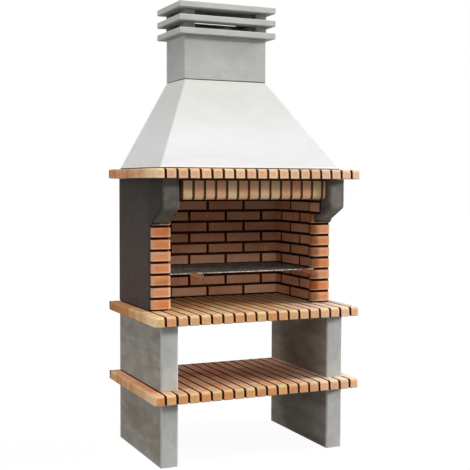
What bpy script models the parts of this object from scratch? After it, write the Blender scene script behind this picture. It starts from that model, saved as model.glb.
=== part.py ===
"""An outdoor masonry barbecue: brick slabs on concrete legs, a brick-lined
firebox with a pull-out wire grate, and a white hood with a concrete chimney.

Metres, +Z up. The origin is on the ground under the middle of the object, and
the front faces -Y. Every piece hangs from an empty for its assembly, and all
of them from one empty that stands at the middle of the slabs' front edge.
"""

import math

import bmesh
import bpy
from mathutils import Matrix, Vector

# Clearances
gap = 0.0003            # between pieces that touch
overrun = 0.02          # a cutter runs this far past what it cuts

# Bricks and mortar
brick_width = 0.050
brick_length = 0.210
column_joint = 0.010    # dark joint between the brick columns of a slab
course_joint = 0.0102   # bed joint between courses of the lining
head_joint = 0.012      # upright joint between bricks of one course
slab_rake = 0.003       # how far the mortar lies back in a slab's joints
slab_web = 0.004        # joins the brick columns of a slab under the mortar
lining_rake = 0.009
pilaster_rake = 0.014
lintel_rake = 0.004

# Slabs: shelf, hearth and mantel
slab_columns = 19
slab_depth = 0.737
slab_spine = 0.010      # mortar along the back edge
slab_rim = 0.010        # mortar round the smoke opening of the mantel
nosing_radius = 0.016
side_radius = 0.010

# Legs
lower_leg_height = 0.326
upper_leg_height = 0.328
leg_inset = 0.057       # from the slabs' side edges
leg_front = 0.078
leg_thickness = 0.0925
concrete_edge = 0.005

# Firebox walls and linings
side_panel_thickness = 0.0637
back_panel_thickness = 0.0227
slip_thickness = 0.016  # of the lining bricks
slip_backing = 0.003    # joins them behind the mortar
courses = 11
first_bed = 0.0068      # mortar under the lowest course
last_bed = 0.0017       # mortar over the highest course
side_head_joint = 0.303
back_head_joint = -0.004

# Pilasters at the firebox's front corners
pilaster_courses = 8
pilaster_step = 0.028   # they stand this far in front of the side linings
pilaster_front = 0.216
pilaster_depth = 0.041
pilaster_spine = 0.005
pilaster_lip = 0.0015   # concrete skin over the outer ends of the bricks
pilaster_inner_radius = 0.019
pilaster_outer_radius = 0.005
wall_recess = 0.016     # the panels start this far behind the pilasters' faces

# Corbels, cast with the side walls
corbel_slip = 0.012     # thickness of the bricks on a corbel's inner side
corbel_backing = 0.003
corbel_front = 0.066
corbel_nose_drop = 0.150
corbel_lap = 0.0464     # the corbel's foot covers this much of the pilaster's top brick
corbel_knee_run = 0.0207
corbel_knee_rise = 0.015

# Lintel between the corbels
lintel_recess = 0.030   # behind the corbels' noses
lintel_depth = 0.039
lintel_backing = 0.005
lintel_bed = 0.008      # mortar between the lintel and the mantel
lintel_height = 0.105
lintel_radius = 0.033
lintel_clearance = 0.009

# Smoke opening of the mantel
opening_front = 0.170
opening_margin = 0.087  # between the opening and the slab's back
opening_columns = 13    # brick columns that stop at the opening

# Hood and chimney
bed_thickness = 0.003
bed_recess = 0.003
hood_side_inset = 0.0610
hood_back_inset = 0.002
hood_front = 0.109
hood_height = 0.469
hood_wall = 0.030
hood_edge = 0.010
chimney_half_width = 0.238
chimney_back_inset = 0.004
chimney_depth = 0.271
chimney_height = 0.230
chimney_wall = 0.035

# Chimney cap
cap_overhang = 0.040
cap_slab_thickness = 0.032
cap_gap_height = 0.036
cap_foot_width = 0.060
cap_edge = 0.004

# Wire grate
grate_course = 3        # it rests on this course, in the joint above
frame_wire = 0.0035     # radii of the wires
mesh_wire = 0.0015
grate_bearing = 0.011   # on the pilasters' bricks
grate_back_bearing = 0.0075
grate_nose = 0.0055     # in front of the pilasters
grate_corner = 0.012
mesh_pitch = 0.024
handle_inset = 0.100    # from the grate's side
handle_reach = 0.1755   # from the grate's front to the handle's front
handle_length = 0.121
handle_radius = 0.014
handle_edge = 0.004
tang_radius = 0.0036
tang_bite = 0.101       # length of the tang inside the handle

# How round shapes are cut into flats
quarter_circle = 0.5    # Bevel's profile value for one
round_steps = 4
edge_steps = 2
wire_sides = 6
tube_rings = 1          # extra rows of flats round the frame wire
handle_steps = 16

# Levels and places that follow from the sizes above
column_pitch = brick_width + column_joint
course_pitch = brick_width + course_joint
slab_width = slab_columns * column_pitch - column_joint
half_slab = slab_width / 2
slab_thickness = brick_width
wall_height = first_bed + courses * course_pitch - course_joint + last_bed

shelf_level = lower_leg_height + gap
upper_leg_level = shelf_level + slab_thickness + gap
hearth_level = upper_leg_level + upper_leg_height + gap
firebox_level = hearth_level + slab_thickness + gap
mantel_level = firebox_level + wall_height + gap
hood_bed_level = mantel_level + slab_thickness + gap
hood_level = hood_bed_level + bed_thickness + gap
chimney_bed_level = hood_level + hood_height + gap
chimney_level = chimney_bed_level + bed_thickness + gap
cap_level = chimney_level + chimney_height + gap

outer_face = half_slab - leg_inset
panel_face = outer_face - side_panel_thickness
lining_face = panel_face - gap - slip_thickness
pilaster_inner = lining_face - pilaster_step
corbel_inner = pilaster_inner + corbel_slip
hood_half_width = half_slab - hood_side_inset

brick_back = slab_depth - slab_spine - gap
opening_back = slab_depth - opening_margin
lining_back = slab_depth - back_panel_thickness - gap
back_face = lining_back - slip_thickness
wall_front = pilaster_front + wall_recess
pilaster_back = pilaster_front + pilaster_depth
lining_front = pilaster_back + pilaster_spine + 2 * gap
lintel_front = corbel_front + lintel_recess
corbel_slip_front = lintel_front + lintel_depth + lintel_clearance
hood_back = slab_depth - hood_back_inset
chimney_back = hood_back - chimney_back_inset
chimney_front = chimney_back - chimney_depth
overall_depth = chimney_back + cap_overhang

grate_half_width = pilaster_inner + grate_bearing
grate_front = pilaster_front - grate_nose
grate_back = back_face + grate_back_bearing
handle_place = grate_half_width - handle_inset
handle_front = grate_front - handle_reach
handle_bore = tang_radius + gap
tang_front = handle_front + handle_length - tang_bite


def clear_scene():
    for thing in list(bpy.data.objects):
        bpy.data.objects.remove(thing, do_unlink=True)


def new_collection(name):
    made = bpy.data.collections.new(name)
    bpy.context.scene.collection.children.link(made)
    return made


def material(name, colour, roughness, metallic=0.0):
    made = bpy.data.materials.new(name)
    made.use_nodes = True
    shader = made.node_tree.nodes["Principled BSDF"]
    shader.inputs["Base Color"].default_value = (*colour, 1.0)
    shader.inputs["Roughness"].default_value = roughness
    shader.inputs["Metallic"].default_value = metallic
    return made


def empty(name, place, parent=None):
    made = bpy.data.objects.new(name, None)
    parts.objects.link(made)
    made.location = place
    made.parent = parent
    return made


def block(shapes, xs, ys, zs):
    """Add one box to a bmesh, from its two limits along each axis in any order."""
    low = Vector(min(pair) for pair in (xs, ys, zs))
    high = Vector(max(pair) for pair in (xs, ys, zs))
    place = Matrix.Translation((low + high) / 2) @ Matrix.Diagonal((*(high - low), 1.0))
    return bmesh.ops.create_cube(shapes, size=1.0, matrix=place)["verts"]


def round_edges(shapes, radius, steps, chosen):
    """Round the edges whose two ends both pass the test."""
    edges = [edge for edge in shapes.edges if all(chosen(end.co) for end in edge.verts)]
    bevel_edges(shapes, edges, radius, steps)


def bevel_edges(shapes, edges, radius, steps):
    bmesh.ops.bevel(shapes, geom=edges, offset=radius, segments=steps, profile=quarter_circle,
                    affect="EDGES")


def near(value, target):
    """Whether two lengths are the same but for rounding."""
    return abs(value - target) < gap / 2


def piece(name, shapes, look, parent, group=None):
    """Turn a bmesh into a named object with its own material."""
    mesh = bpy.data.meshes.new(name)
    shapes.to_mesh(mesh)
    shapes.free()
    made = bpy.data.objects.new(name, mesh)
    (group or parts).objects.link(made)
    made.parent = parent
    if look:
        mesh.materials.append(material(name, *look))
    return made


def cutter(name, shapes, parent):
    """An object that only shapes others: hidden in renders, drawn as wire."""
    made = piece(name, shapes, None, parent, cutters)
    made.hide_render = True
    made.display_type = "WIRE"
    return made


def drawn_mesh(line):
    """A curve's own shape as one closed bmesh."""
    drawn = bpy.data.objects.new(line.name, line)
    parts.objects.link(drawn)
    graph = bpy.context.evaluated_depsgraph_get()
    mesh = bpy.data.meshes.new_from_object(drawn.evaluated_get(graph))
    shapes = bmesh.new()
    shapes.from_mesh(mesh)
    bmesh.ops.remove_doubles(shapes, verts=shapes.verts, dist=gap / 3)
    bmesh.ops.recalc_face_normals(shapes, faces=shapes.faces)
    bpy.data.objects.remove(drawn, do_unlink=True)
    return shapes


def combine(target, tool, operation):
    modifier = target.modifiers.new(operation.lower(), "BOOLEAN")
    modifier.operation = operation
    modifier.object = tool


def bevel(target, width, steps):
    modifier = target.modifiers.new("edges", "BEVEL")
    modifier.width = width
    modifier.segments = steps
    modifier.limit_method = "ANGLE"


def boxes(name, spans, look, parent):
    """One object made of separate boxes."""
    shapes = bmesh.new()
    for span in spans:
        block(shapes, *span)
    return piece(name, shapes, look, parent)


def cut(target, name, spans, parent):
    """Cut boxes out of an object."""
    shapes = bmesh.new()
    for span in spans:
        block(shapes, *span)
    combine(target, cutter(name, shapes, parent), "DIFFERENCE")


def grown(spans):
    """The same boxes, larger all round by the clearance."""
    return [[(min(pair) - gap, max(pair) + gap) for pair in span] for span in spans]


def bonded(name, backing, bricks, look, parent):
    """Bricks that stand out from one thin backing, as one casting."""
    made = boxes(name, [backing], look, parent)
    shapes = bmesh.new()
    for span in bricks:
        block(shapes, *span)
    combine(made, cutter(name + "_faces", shapes, parent), "UNION")
    return made


# Slabs


def column_start(column):
    return column * column_pitch - half_slab


def column_end(column):
    return column_start(column) + brick_width


def slab_body(name, low, high, front, end, radius, side, look, parent):
    """A slab's block with its front top edge and its side edges rounded."""
    shapes = bmesh.new()
    block(shapes, (-half_slab, half_slab), (front, end), (low, high))

    def nose(spot):
        return near(spot.y, front) and near(spot.z, high)

    round_edges(shapes, radius, round_steps, nose)
    if side:
        edges = [edge for edge in shapes.edges if rounded_flank(edge, low, end)]
        bevel_edges(shapes, edges, side, edge_steps)
    return piece(name, shapes, look, parent)


def rounded_flank(edge, low, end):
    """The edges round a slab's two sides, but for the bottom and the back."""
    first, last = (corner.co for corner in edge.verts)
    on_side = near(abs(first.x), half_slab) and near(first.x, last.x)
    on_bottom = near(first.z, low) and near(last.z, low)
    on_back = near(first.y, end) and near(last.y, end)
    return on_side and not on_bottom and not on_back


def slab(name, level, opened=False):
    """A slab of brick columns on a thin web, with mortar between them and along the back."""
    base = empty(name, (0, 0, level), origin)
    top = slab_thickness
    bricks = slab_body(name + "_bricks", 0, top, 0, brick_back, nosing_radius, side_radius,
                       slab_brick, base)
    mortar = slab_body(name + "_mortar", slab_web + gap, top - slab_rake, slab_rake, slab_depth,
                       nosing_radius - slab_rake, 0, dark_mortar, base)
    joints, columns = [], []
    above = (slab_web, top + overrun)
    for column in range(slab_columns):
        start, end = column_start(column), column_end(column)
        if column > 0:
            joints.append(((start - column_joint, start), (-overrun, slab_depth), above))
        wide = (start - overrun if column == 0 else start - gap,
                end + overrun if column == slab_columns - 1 else end + gap)
        lengths = [(-overrun, brick_back + gap)]
        if opened and abs(column - slab_columns // 2) <= opening_columns // 2:
            lengths = [(-overrun, opening_front - slab_rim),
                       (opening_back + slab_rim, brick_back + gap)]
        columns += [(wide, length, (0, top)) for length in lengths]
    if opened:
        inner = column_start(slab_columns // 2 + opening_columns // 2) + brick_width
        depth = (opening_front - slab_rim - gap, opening_back + slab_rim + gap)
        tall = (-overrun, top + overrun)
        across = (-inner - column_joint, inner + column_joint)
        cut(bricks, name + "_brick_opening", [(across, depth, tall)], base)
        cut(mortar, name + "_opening", [((-inner, inner), (opening_front, opening_back), tall)],
            base)
    cut(bricks, name + "_joints", joints, base)
    cut(mortar, name + "_brick_spaces", columns, base)


# Legs


def leg(name, side, level, height):
    shapes = bmesh.new()
    inner = outer_face - leg_thickness
    block(shapes, (side * inner, side * outer_face), (leg_front, slab_depth), (0, height))
    made = piece(name, shapes, leg_concrete, empty(name + "_foot", (0, 0, level), origin))
    bevel(made, concrete_edge, edge_steps)


# Firebox


def course_base(course):
    """The underside of a course of bricks, above the hearth."""
    return first_bed + course * course_pitch


def course_span(course):
    return (course_base(course), course_base(course) + brick_width)


def course_pieces(course, start, end, joint):
    """The bricks of one course between two ends; every other course steps by half a brick."""
    pitch = brick_length + head_joint
    middle = joint + (pitch / 2 if course % 2 else 0)
    middle -= math.floor((middle - start) / pitch) * pitch
    pieces = []
    left = start
    while middle < end - head_joint:
        if middle - head_joint / 2 > left:
            pieces.append((left, middle - head_joint / 2))
        left = middle + head_joint / 2
        middle += pitch
    pieces.append((left, end))
    return pieces


def lattice(name, bed, bricks, parent):
    """A bed of mortar with a space in it for each brick."""
    mortar = boxes(name, [bed], dark_mortar, parent)
    cut(mortar, name + "_spaces", grown(bricks), parent)


def side_lining(name, side, parent):
    root = side * (panel_face - gap)
    mid = root - side * slip_backing / 2
    bricks = [
        ((side * lining_face, mid), run, course_span(course))
        for course in range(courses)
        for run in course_pieces(course, lining_front, lining_back, side_head_joint)
    ]
    depth, tall = (lining_front, lining_back), (0, wall_height)
    bonded(name + "_bricks", ((root - side * slip_backing, root), depth, tall), bricks,
           lining_brick, parent)
    bed = (side * (lining_face + lining_rake), root - side * (slip_backing + gap))
    lattice(name + "_mortar", (bed, depth, tall), bricks, parent)


def back_lining(parent):
    """The back bricks under the grate's joint, those above it, and their mortar."""
    end = lining_face - gap
    wide = (-end, end)
    backing = (lining_back - slip_backing, lining_back)
    under = course_span(grate_course - 1)[1]
    above = course_span(grate_course)[0]
    every_brick = []
    for name, rows, tall in (("lower", range(grate_course), (0, under)),
                             ("upper", range(grate_course, courses), (above, wall_height))):
        bricks = [
            (run, (back_face, lining_back - slip_backing / 2), course_span(course))
            for course in rows
            for run in course_pieces(course, -end, end, back_head_joint)
        ]
        every_brick += bricks
        bonded(f"back_lining_{name}_bricks", (wide, backing, tall), bricks, lining_brick, parent)
    bed = (back_face + lining_rake, lining_back - slip_backing - gap)
    lattice("back_lining_mortar", (wide, bed, (0, wall_height)), every_brick, parent)


def pilaster(name, side, parent):
    """The stack of rounded bricks at a front corner of the firebox."""
    outer = outer_face - pilaster_lip - gap
    xs = (side * pilaster_inner, side * outer)
    ys = (pilaster_front, pilaster_back)
    spans = [(xs, ys, course_span(course)) for course in range(pilaster_courses)]

    def inner_corner(spot):
        return near(spot.y, pilaster_front) and near(spot.x, xs[0])

    def outer_corner(spot):
        return near(spot.y, pilaster_front) and near(spot.x, xs[1])

    for course, span in enumerate(spans):
        shapes = bmesh.new()
        block(shapes, *span)
        round_edges(shapes, pilaster_inner_radius, round_steps, inner_corner)
        round_edges(shapes, pilaster_outer_radius, edge_steps, outer_corner)
        piece(f"{name}_brick_{course + 1}", shapes, pilaster_brick, parent)
    core = (side * (pilaster_inner + pilaster_rake), side * (outer - slab_rake))
    depth = (pilaster_front + pilaster_rake, pilaster_back + pilaster_spine)
    bed = (core, depth, (0, course_span(pilaster_courses - 1)[1]))
    lattice(name + "_mortar", bed, spans, parent)


def corbel_outline():
    """The corbel seen from the side: back, foot, curve, chamfer, nose and top."""
    foot = course_span(pilaster_courses - 1)[1] - corbel_lap
    nose = wall_height - corbel_nose_drop
    toe = Vector((pilaster_front - gap, foot))
    knee = Vector((toe.x - corbel_knee_run + gap, foot + corbel_knee_rise))
    tip = Vector((corbel_front, nose))
    # The curve leaves the foot upright and runs into the chamfer.
    slope = (tip - knee).normalized()
    bend = Vector((toe.x, knee.y + slope.y / slope.x * (toe.x - knee.x)))
    bend.y = max(bend.y, foot + gap)
    shares = [step / round_steps for step in range(round_steps + 1)]
    curve = [toe * (1 - s) ** 2 + bend * 2 * s * (1 - s) + knee * s ** 2 for s in shares]
    back = lining_front - gap
    return [(back, wall_height), (back, foot), *curve, tip, (corbel_front, wall_height)]


def prism(name, outline, thickness, place, parent):
    """An outline in Y and Z, drawn out along X, as a mesh that can join another."""
    flat = bpy.data.curves.new(name, "CURVE")
    flat.dimensions = "2D"
    flat.fill_mode = "BOTH"
    flat.extrude = thickness / 2
    line = flat.splines.new("POLY")
    line.points.add(len(outline) - 1)
    for point, spot in zip(line.points, outline):
        point.co = (*spot, 0, 1)
    line.use_cyclic_u = True
    shapes = drawn_mesh(flat)
    upright = Matrix(((0, 0, 1, 0), (1, 0, 0, 0), (0, 1, 0, 0), (0, 0, 0, 1)))
    shapes.transform(Matrix.Translation(place) @ upright)
    return cutter(name, shapes, parent)


def side_wall(name, side, parent):
    """A cast panel with its corbel, and a pocket for the pilaster bricks."""
    panel = ((side * panel_face, side * outer_face), (wall_front, slab_depth), (0, wall_height))
    wall = boxes(name, [panel], wall_concrete, parent)
    middle = (side * (corbel_inner + outer_face) / 2, 0, 0)
    thickness = outer_face - corbel_inner
    combine(wall, prism(name + "_corbel", corbel_outline(), thickness, middle, parent), "UNION")
    xs = (side * (corbel_inner - overrun), side * (outer_face - pilaster_lip - gap))
    ys = (pilaster_front, pilaster_back + pilaster_spine)
    zs = (-overrun, course_span(pilaster_courses - 1)[1])
    cut(wall, name + "_pocket", grown([(xs, ys, zs)]), parent)


def corbel_slips(name, side, parent):
    """Thin bricks on the inner side of the corbel, from the lintel to the pilaster."""
    root = side * (corbel_inner - gap)
    backing = (root - side * corbel_backing, root)
    front, end = corbel_slip_front, pilaster_back
    rows = [course_span(course) for course in range(pilaster_courses, courses)]
    low = course_span(pilaster_courses - 1)[1] + gap
    bricks = [((side * pilaster_inner, root - side * corbel_backing / 2),
               (front, end - slab_rake), row) for row in rows]
    bonded(name + "_bricks", (backing, (front, end), (low, wall_height)), bricks,
           lining_brick, parent)
    bed = (side * (pilaster_inner + slab_rake), backing[0] - side * gap)
    deep = [(xs, (front - overrun, ys[1]), zs) for xs, ys, zs in bricks]
    lattice(name + "_mortar", (bed, (front + slab_rake, end), (low, wall_height)), deep, parent)


def lintel(parent):
    """Upright bricks under the mantel on a thin backing, with mortar between and above them."""
    end = corbel_inner - 2 * gap
    low, high = wall_height - lintel_height, wall_height - lintel_bed - gap
    back = lintel_front + lintel_depth
    spans = []
    for column in range(slab_columns):
        start, stop = max(column_start(column), -end), min(column_end(column), end)
        if stop - start > column_joint:
            spans.append((start, stop))
    made = boxes("lintel_bricks", [((-end, end), (back - lintel_backing, back), (low, high))],
                 lintel_brick, parent)
    rows = bmesh.new()
    for span in spans:
        block(rows, span, (lintel_front, back - lintel_backing / 2), (low, high))

    def lower_front(spot):
        return near(spot.y, lintel_front) and near(spot.z, low)

    round_edges(rows, lintel_radius, round_steps, lower_front)
    combine(made, cutter("lintel_brick_faces", rows, parent), "UNION")
    bed = bmesh.new()
    front, bottom = lintel_front + lintel_rake, low + lintel_rake
    block(bed, (-end, end), (front, back - lintel_backing - gap), (bottom, wall_height))

    def bed_front(spot):
        return near(spot.y, front) and near(spot.z, bottom)

    round_edges(bed, lintel_radius - lintel_rake, round_steps, bed_front)
    mortar = piece("lintel_mortar", bed, dark_mortar, parent)
    deep, tall = (lintel_front - overrun, back), (low - overrun, high)
    cut(mortar, "lintel_brick_spaces", grown([(span, deep, tall) for span in spans]), parent)


def firebox():
    base = empty("firebox", (0, 0, firebox_level), origin)
    for name, side in (("left", -1), ("right", 1)):
        side_wall(name + "_side_wall", side, base)
        side_lining(name + "_lining", side, base)
        pilaster(name + "_pilaster", side, base)
        corbel_slips(name + "_corbel_lining", side, base)
    end = panel_face - gap
    panel = ((-end, end), (lining_back + gap, slab_depth), (0, wall_height))
    boxes("back_wall", [panel], wall_concrete, base)
    back_lining(base)
    lintel(base)


# Hood and chimney


def tapered(shapes, foot, head, low, high):
    """A block whose head is narrower than its foot; each is a pair of X and Y limits."""
    corners = block(shapes, *foot, (low, high))
    for corner in corners:
        if near(corner.co.z, high):
            for axis in range(2):
                start, end = foot[axis]
                share = (corner.co[axis] - start) / (end - start)
                corner.co[axis] = head[axis][0] + share * (head[axis][1] - head[axis][0])


def ring(name, low, high, xs, ys, wall, look, parent, edge=0):
    """A block with an upright hole through it, or without one where the wall is zero."""
    shapes = bmesh.new()
    block(shapes, xs, ys, (low, high))
    made = piece(name, shapes, look, parent)
    if edge:
        bevel(made, edge, edge_steps)
    if wall:
        hole = bmesh.new()
        block(hole, (xs[0] + wall, xs[1] - wall), (ys[0] + wall, ys[1] - wall),
              (low - overrun, high + overrun))
        combine(made, cutter(name + "_hole", hole, parent), "DIFFERENCE")
    return made


def hood():
    """The hood: a hollow pyramid cut off at the chimney, open at both ends."""
    base = empty("hood_base", (0, 0, hood_level), origin)
    foot = ((-hood_half_width, hood_half_width), (hood_front, hood_back))
    head = ((-chimney_half_width, chimney_half_width), (chimney_front, chimney_back))
    shapes = bmesh.new()
    tapered(shapes, foot, head, 0, hood_height)
    edges = [edge for edge in shapes.edges if rises(edge)]
    bevel_edges(shapes, edges, hood_edge, edge_steps)
    shell = piece("hood", shapes, white_render, base)
    inner_foot = [(start + hood_wall, end - hood_wall) for start, end in foot]
    inner_head = [(start + chimney_wall, end - chimney_wall) for start, end in head]
    hollow = bmesh.new()
    tapered(hollow, inner_foot, inner_head, 0, hood_height)
    hollow.normal_update()
    for face in list(hollow.faces):
        if not any(rises(edge) for edge in face.edges):
            draw_out(hollow, face)
    combine(shell, cutter("hood_hollow", hollow, base), "DIFFERENCE")

    bed = empty("hood_bed_base", (0, 0, hood_bed_level), origin)
    xs, ys = [(start + bed_recess, end - bed_recess) for start, end in foot]
    ring("hood_bed", 0, bed_thickness, xs, ys, hood_wall - bed_recess, dark_mortar, bed)


def rises(edge):
    """Whether an edge runs from the hood's foot to its head."""
    first, last = (corner.co.z for corner in edge.verts)
    return not near(first, last)


def draw_out(shapes, face):
    """Draw one end of a hollow out past what it is cut from."""
    outward = Vector((0, 0, math.copysign(overrun, face.normal.z)))
    drawn = bmesh.ops.extrude_face_region(shapes, geom=[face])
    corners = [item for item in drawn["geom"] if isinstance(item, bmesh.types.BMVert)]
    bmesh.ops.translate(shapes, verts=corners, vec=outward)
    bmesh.ops.delete(shapes, geom=[face], context="FACES")


def chimney():
    xs, ys = (-chimney_half_width, chimney_half_width), (chimney_front, chimney_back)
    bed = empty("chimney_bed_base", (0, 0, chimney_bed_level), origin)
    recessed = [(start + bed_recess, end - bed_recess) for start, end in (xs, ys)]
    wall = chimney_wall - bed_recess
    ring("chimney_bed", 0, bed_thickness, *recessed, wall, dark_mortar, bed)
    base = empty("chimney_base", (0, 0, chimney_level), origin)
    ring("chimney", 0, chimney_height, xs, ys, chimney_wall, flue_concrete, base, concrete_edge)
    wide = [(start - cap_overhang, end + cap_overhang) for start, end in (xs, ys)]
    cap(*wide)


def cap(xs, ys):
    """Three slabs over the chimney, the upper two on feet, with open gaps between them."""
    base = empty("cap", (0, 0, cap_level), origin)
    for count, name in enumerate(("lower", "middle", "top")):
        low = count * (cap_slab_thickness + cap_gap_height)
        hole = 0 if name == "top" else cap_overhang + chimney_wall
        made = ring("cap_" + name + "_slab", low, low + cap_slab_thickness, xs, ys, hole,
                    cap_concrete, base, cap_edge)
        if count:
            combine(made, cap_feet("cap_" + name + "_feet", low, base), "UNION")


def cap_feet(name, level, parent):
    """Four feet under a slab of the cap, in line with the chimney's corners."""
    zs = (level - cap_gap_height + gap, level + cap_edge)
    shapes = bmesh.new()
    for side in (-1, 1):
        xs = (side * (chimney_half_width - cap_foot_width), side * chimney_half_width)
        for face, inward in ((chimney_front, 1), (chimney_back, -1)):
            block(shapes, xs, (face, face + inward * cap_foot_width), zs)
    return cutter(name, shapes, parent)


# Grate


def tube(name, points, radius, look, parent):
    """A round wire bent into a closed loop, as a mesh."""
    line = bpy.data.curves.new(name, "CURVE")
    line.dimensions = "3D"
    line.bevel_depth = radius
    line.bevel_resolution = tube_rings
    path = line.splines.new("POLY")
    path.points.add(len(points) - 1)
    for point, spot in zip(path.points, points):
        point.co = (*spot, 1)
    path.use_cyclic_u = True
    made = piece(name, drawn_mesh(line), look, parent)
    made.data.shade_smooth()
    return made


def frame_path(half, front, back, corner):
    """A rectangle with rounded corners, run once round."""
    points = []
    centres = ((half - corner, back - corner, 0), (corner - half, back - corner, 90),
               (corner - half, front + corner, 180), (half - corner, front + corner, 270))
    for x, y, start in centres:
        for step in range(round_steps + 1):
            turn = math.radians(start + 90 * step / round_steps)
            points.append((x + corner * math.cos(turn), y + corner * math.sin(turn), 0))
    return points


def rods(ends, radius):
    """Straight rods, each from one end to the other."""
    shapes = bmesh.new()
    for start, end in ends:
        along = Vector(end) - Vector(start)
        turn = along.to_track_quat("Z", "Y").to_matrix().to_4x4()
        place = Matrix.Translation((Vector(start) + Vector(end)) / 2) @ turn
        bmesh.ops.create_cone(shapes, cap_ends=True, segments=wire_sides, radius1=radius,
                              radius2=radius, depth=along.length, matrix=place)
    return shapes


def spread(start, end, pitch):
    """Places at one pitch, centred between two ends."""
    count = int((end - start) / pitch)
    first = (start + end - count * pitch) / 2
    return [first + step * pitch for step in range(count + 1)]


def handle_profile():
    """Half the section of a handle, from the bore at its back, round to the front."""
    rounding = [math.radians(90 * step / round_steps) for step in range(round_steps + 1)]
    inner = handle_radius - handle_edge
    front = [(inner + handle_edge * math.sin(a), handle_length - handle_edge * (1 - math.cos(a)))
             for a in rounding]
    back = [(inner + handle_edge * math.cos(a), handle_edge * (1 - math.sin(a)))
            for a in rounding]
    return [(handle_bore, handle_length), *front, *back, (handle_bore, 0)]


def handle(name, x, parent):
    """A turned wooden handle, its axis along Y."""
    shapes = bmesh.new()
    outline = [shapes.verts.new((radius, 0, height)) for radius, height in handle_profile()]
    for start, end in zip(outline, outline[1:] + outline[:1]):
        shapes.edges.new((start, end))
    made = piece(name, shapes, handle_wood, parent)
    made.location = (x, handle_front + handle_length, 0)
    made.rotation_euler = (math.radians(90), 0, 0)
    turned = made.modifiers.new("turned", "SCREW")
    turned.steps = turned.render_steps = handle_steps
    turned.use_merge_vertices = True
    turned.merge_threshold = gap / 3
    turned.use_smooth_shade = True


def grate():
    """The welded grid and its two handles, about the frame wire's own level."""
    level = firebox_level + course_span(grate_course - 1)[1] + gap + frame_wire
    base = empty("grate", (0, 0, level), origin)
    half = grate_half_width - frame_wire
    front, back = grate_front + frame_wire, grate_back - frame_wire
    grid = tube("grate_grid", frame_path(half, front, back, grate_corner), frame_wire,
                bright_wire, base)
    margin = grate_corner + mesh_wire
    long_rods = rods([((x, front, 0), (x, back, 0))
                      for x in spread(margin - half, half - margin, mesh_pitch)], mesh_wire)
    combine(grid, cutter("grate_long_rods", long_rods, base), "UNION")
    above = 2 * mesh_wire + gap
    cross_rods = rods([((-half, y, above), (half, y, above))
                       for y in spread(front + margin, back - margin, mesh_pitch)], mesh_wire)
    combine(grid, cutter("grate_cross_rods", cross_rods, base), "UNION")
    for name, side in (("left", -1), ("right", 1)):
        x = side * handle_place
        tang = rods([((x, tang_front, 0), (x, grate_front - gap, 0))], tang_radius)
        piece("grate_" + name + "_tang", tang, bright_wire, base)
        handle("grate_" + name + "_handle", x, base)


# Looks: colour, roughness, metallic
slab_brick = ((0.60, 0.34, 0.17), 0.85)
lining_brick = ((0.36, 0.19, 0.11), 0.90)
pilaster_brick = ((0.68, 0.30, 0.13), 0.80)
lintel_brick = ((0.55, 0.33, 0.17), 0.85)
dark_mortar = ((0.03, 0.015, 0.01), 0.95)
leg_concrete = ((0.36, 0.36, 0.33), 0.90)
wall_concrete = ((0.06, 0.052, 0.048), 0.90)
flue_concrete = ((0.46, 0.46, 0.43), 0.88)
cap_concrete = ((0.52, 0.52, 0.48), 0.88)
white_render = ((0.86, 0.86, 0.85), 0.65)
bright_wire = ((0.62, 0.61, 0.60), 0.35, 1.0)
handle_wood = ((0.36, 0.15, 0.06), 0.60)

clear_scene()
parts = new_collection("masonry_barbecue")
cutters = new_collection("cutters")
origin = empty("barbecue_front", (0, -overall_depth / 2, 0))

for side_name, direction in (("left", -1), ("right", 1)):
    leg("lower_" + side_name + "_leg", direction, 0, lower_leg_height)
    leg("upper_" + side_name + "_leg", direction, upper_leg_level, upper_leg_height)
slab("shelf", shelf_level)
slab("hearth", hearth_level)
firebox()
slab("mantel", mantel_level, opened=True)
hood()
chimney()
grate()
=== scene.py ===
"""The looks of an outdoor masonry barbecue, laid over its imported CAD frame."""

import math

import bmesh
import bpy
from mathutils import Matrix, Vector


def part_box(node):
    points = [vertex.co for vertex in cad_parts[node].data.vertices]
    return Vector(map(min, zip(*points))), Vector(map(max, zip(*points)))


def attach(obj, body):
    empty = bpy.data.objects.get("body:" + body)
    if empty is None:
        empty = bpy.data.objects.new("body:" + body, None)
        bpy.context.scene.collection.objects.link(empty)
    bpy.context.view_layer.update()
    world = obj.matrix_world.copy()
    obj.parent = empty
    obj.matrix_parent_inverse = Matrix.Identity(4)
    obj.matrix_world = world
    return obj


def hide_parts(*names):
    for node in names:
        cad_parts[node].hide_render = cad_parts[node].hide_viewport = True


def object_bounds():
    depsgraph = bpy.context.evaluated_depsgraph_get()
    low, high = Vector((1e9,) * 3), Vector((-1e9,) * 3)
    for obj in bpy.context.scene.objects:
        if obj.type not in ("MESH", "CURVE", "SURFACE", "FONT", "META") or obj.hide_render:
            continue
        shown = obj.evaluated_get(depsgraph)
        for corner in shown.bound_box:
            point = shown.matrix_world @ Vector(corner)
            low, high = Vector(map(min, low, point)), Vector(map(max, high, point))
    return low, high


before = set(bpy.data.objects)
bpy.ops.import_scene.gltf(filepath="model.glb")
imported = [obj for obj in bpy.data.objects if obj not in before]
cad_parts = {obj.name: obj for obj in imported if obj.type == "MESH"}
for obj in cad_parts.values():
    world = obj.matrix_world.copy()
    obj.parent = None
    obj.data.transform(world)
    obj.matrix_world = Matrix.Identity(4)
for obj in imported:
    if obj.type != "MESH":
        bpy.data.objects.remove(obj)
cad_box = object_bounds()

# Sizes, in metres. A depth is measured back from the front of the slabs.

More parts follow.
